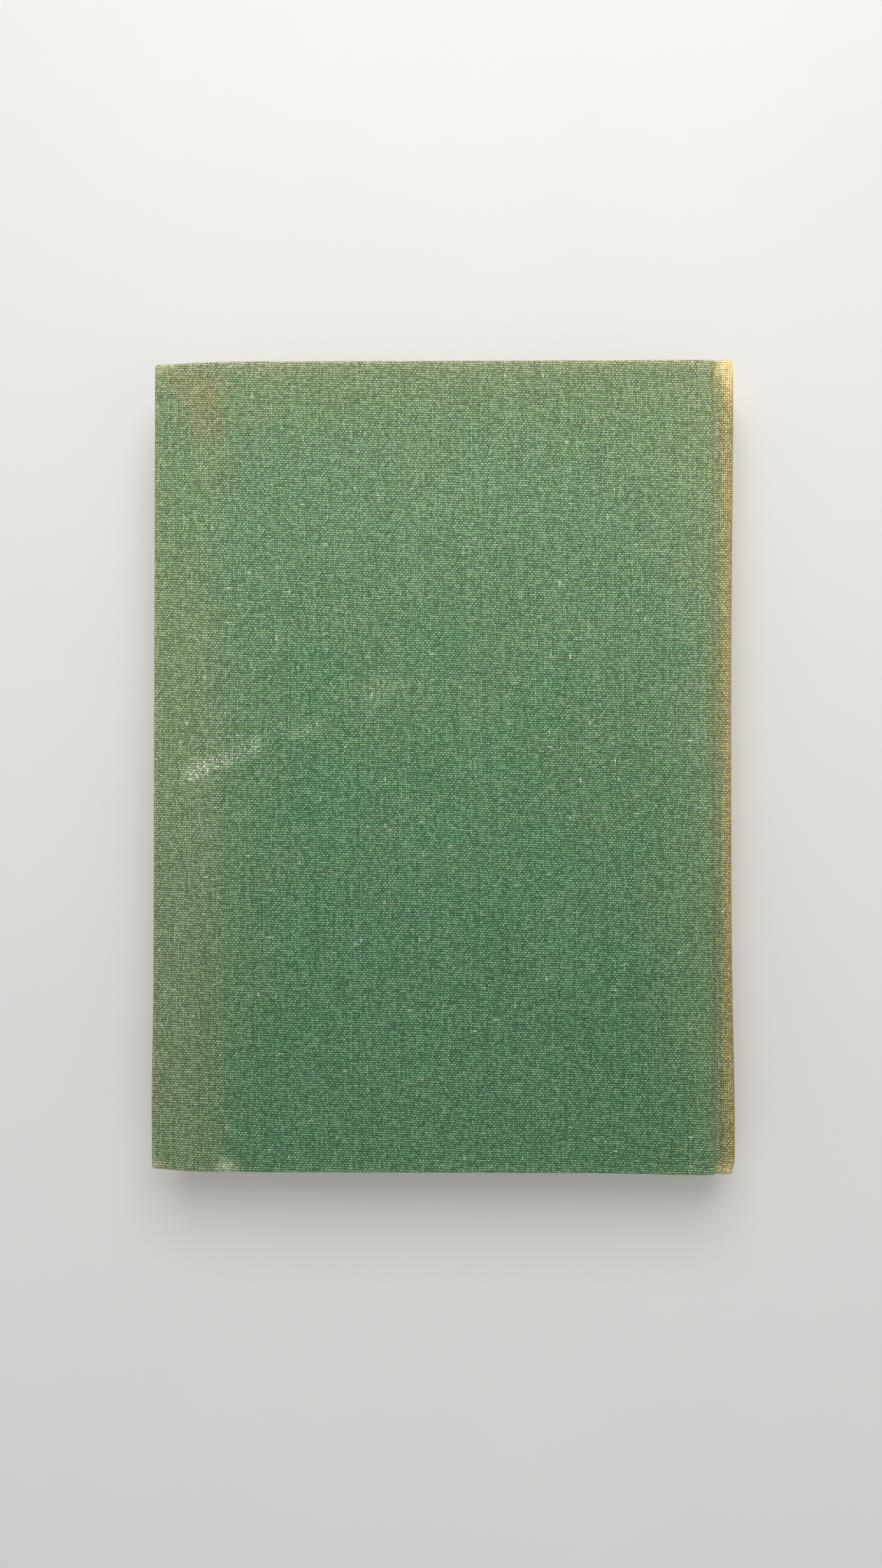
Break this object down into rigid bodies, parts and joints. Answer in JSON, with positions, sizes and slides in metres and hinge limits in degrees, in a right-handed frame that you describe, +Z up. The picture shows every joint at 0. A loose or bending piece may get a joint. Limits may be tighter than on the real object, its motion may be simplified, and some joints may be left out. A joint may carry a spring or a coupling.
{
  "type": "hardback book",
  "caption": "Cloth-bound hardback book lying closed, with a rounded spine, jointed covers, boards, endpapers and one solid block of leaves.",
  "frame": {"origin": "middle of the front cover's outside face, which the book rests on", "axes": "+X from the fore-edge to the spine, +Y from the tail to the head of the leaves, +Z up through the thickness to the back cover"},
  "size_m": [0.155, 0.216, 0.0209],
  "materials": {
    "bookcloth": "plain-weave natural-finish bookcloth, matt",
    "spine_bookcloth": "the same bookcloth, sunned to tan",
    "leaves": "uncoated book paper, toned at the edges",
    "endpaper": "uncoated endpaper",
    "board": "grey binder's board",
    "mull": "open-weave sized gauze",
    "lining": "brown kraft paper",
    "band": "two-colour sewn band"
  },
  "bodies": {
    "block": {"text_block": "leaves", "back_flyleaf": "endpaper", "front_flyleaf": "endpaper", "spine_mull": "mull", "spine_lining": "lining", "head_band": "band", "tail_band": "band", "spine_inlay": "board", "spine_cloth": "spine_bookcloth"},
    "back_cover": {"back_board": "board", "back_cloth": "bookcloth", "back_mull_flap": "mull", "back_pastedown": "endpaper"},
    "front_cover": {"front_board": "board", "front_cloth": "bookcloth", "front_mull_flap": "mull", "front_pastedown": "endpaper"}
  },
  "joints": [
    {"name": "back_cover_hinge", "type": "hinge", "parent": "block", "child": "back_cover", "pos_m": [0.0723, 0, 0.0209], "axis": [0, 1, 0], "range_deg": [0, 175]},
    {"name": "front_cover_hinge", "type": "hinge", "parent": "block", "child": "front_cover", "pos_m": [0.0723, 0, 0], "axis": [0, -1, 0], "range_deg": [0, 175]}
  ]
}
